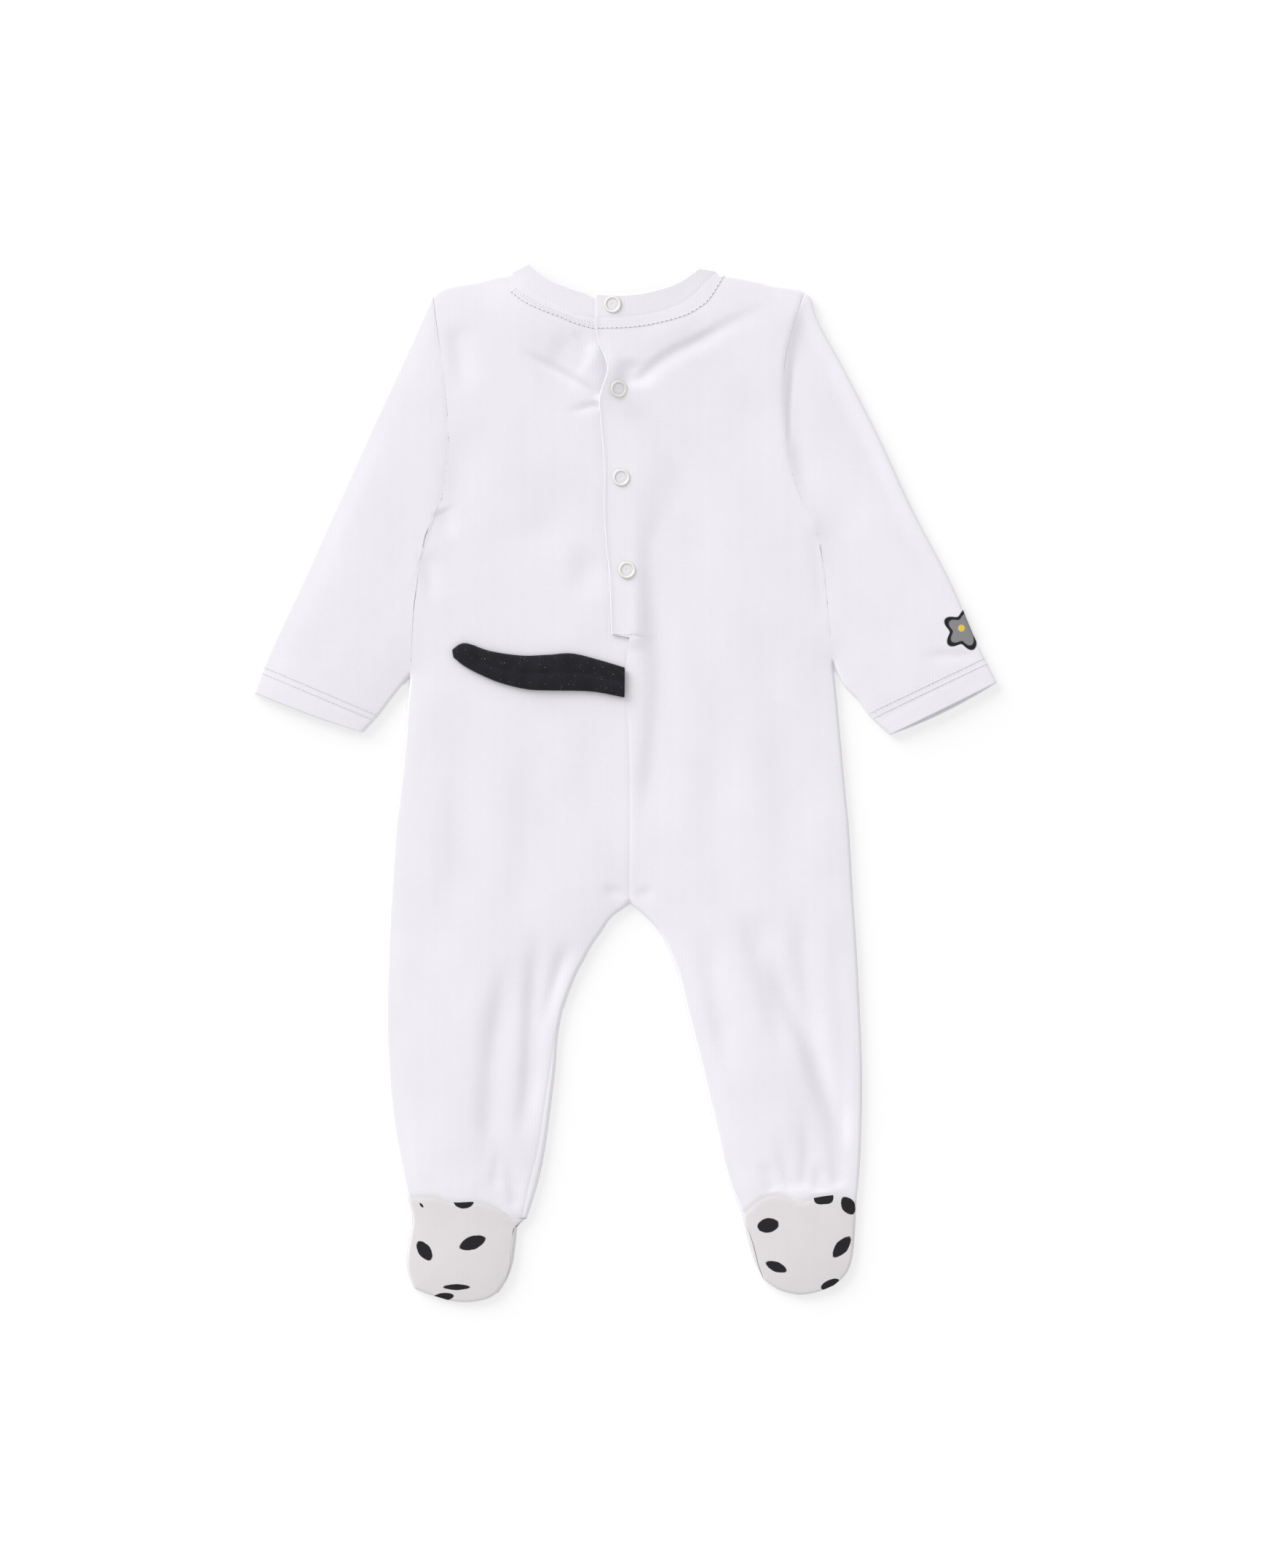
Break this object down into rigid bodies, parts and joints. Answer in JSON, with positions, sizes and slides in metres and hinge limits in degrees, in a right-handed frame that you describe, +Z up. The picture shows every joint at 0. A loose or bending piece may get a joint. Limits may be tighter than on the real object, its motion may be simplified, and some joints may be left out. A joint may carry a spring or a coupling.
{
  "type": "footed baby romper",
  "caption": "Long-sleeved footed baby romper laid flat on its front, back up, with a snapped back opening and a sewn-on tail.",
  "frame": {"origin": "centre of the bounding box, at the surface the romper lies on", "axes": "+Y towards the neck, -Y towards the feet, +X to the right as seen from above, +Z up through the back"},
  "size_m": [0.43, 0.6001, 0.0087],
  "materials": {
    "white_jersey": "matte cotton jersey",
    "sole_jersey": "matte cotton jersey with dark spots",
    "black_jersey": "matte cotton jersey",
    "snap_enamel": "satin white enamel"
  },
  "bodies": {
    "root": {"front": "white_jersey", "back_left": "white_jersey", "back_right": "white_jersey", "neck_band_front": "white_jersey", "neck_band_back_left": "white_jersey", "neck_band_back_right": "white_jersey", "sleeve_left": "white_jersey", "sleeve_right": "white_jersey", "foot_upper_left": "white_jersey", "foot_upper_right": "white_jersey", "sole_left": "sole_jersey", "sole_right": "sole_jersey", "tail": "black_jersey", "snap_1": "snap_enamel", "snap_2": "snap_enamel", "snap_3": "snap_enamel", "snap_4": "snap_enamel"}
  },
  "joints": []
}
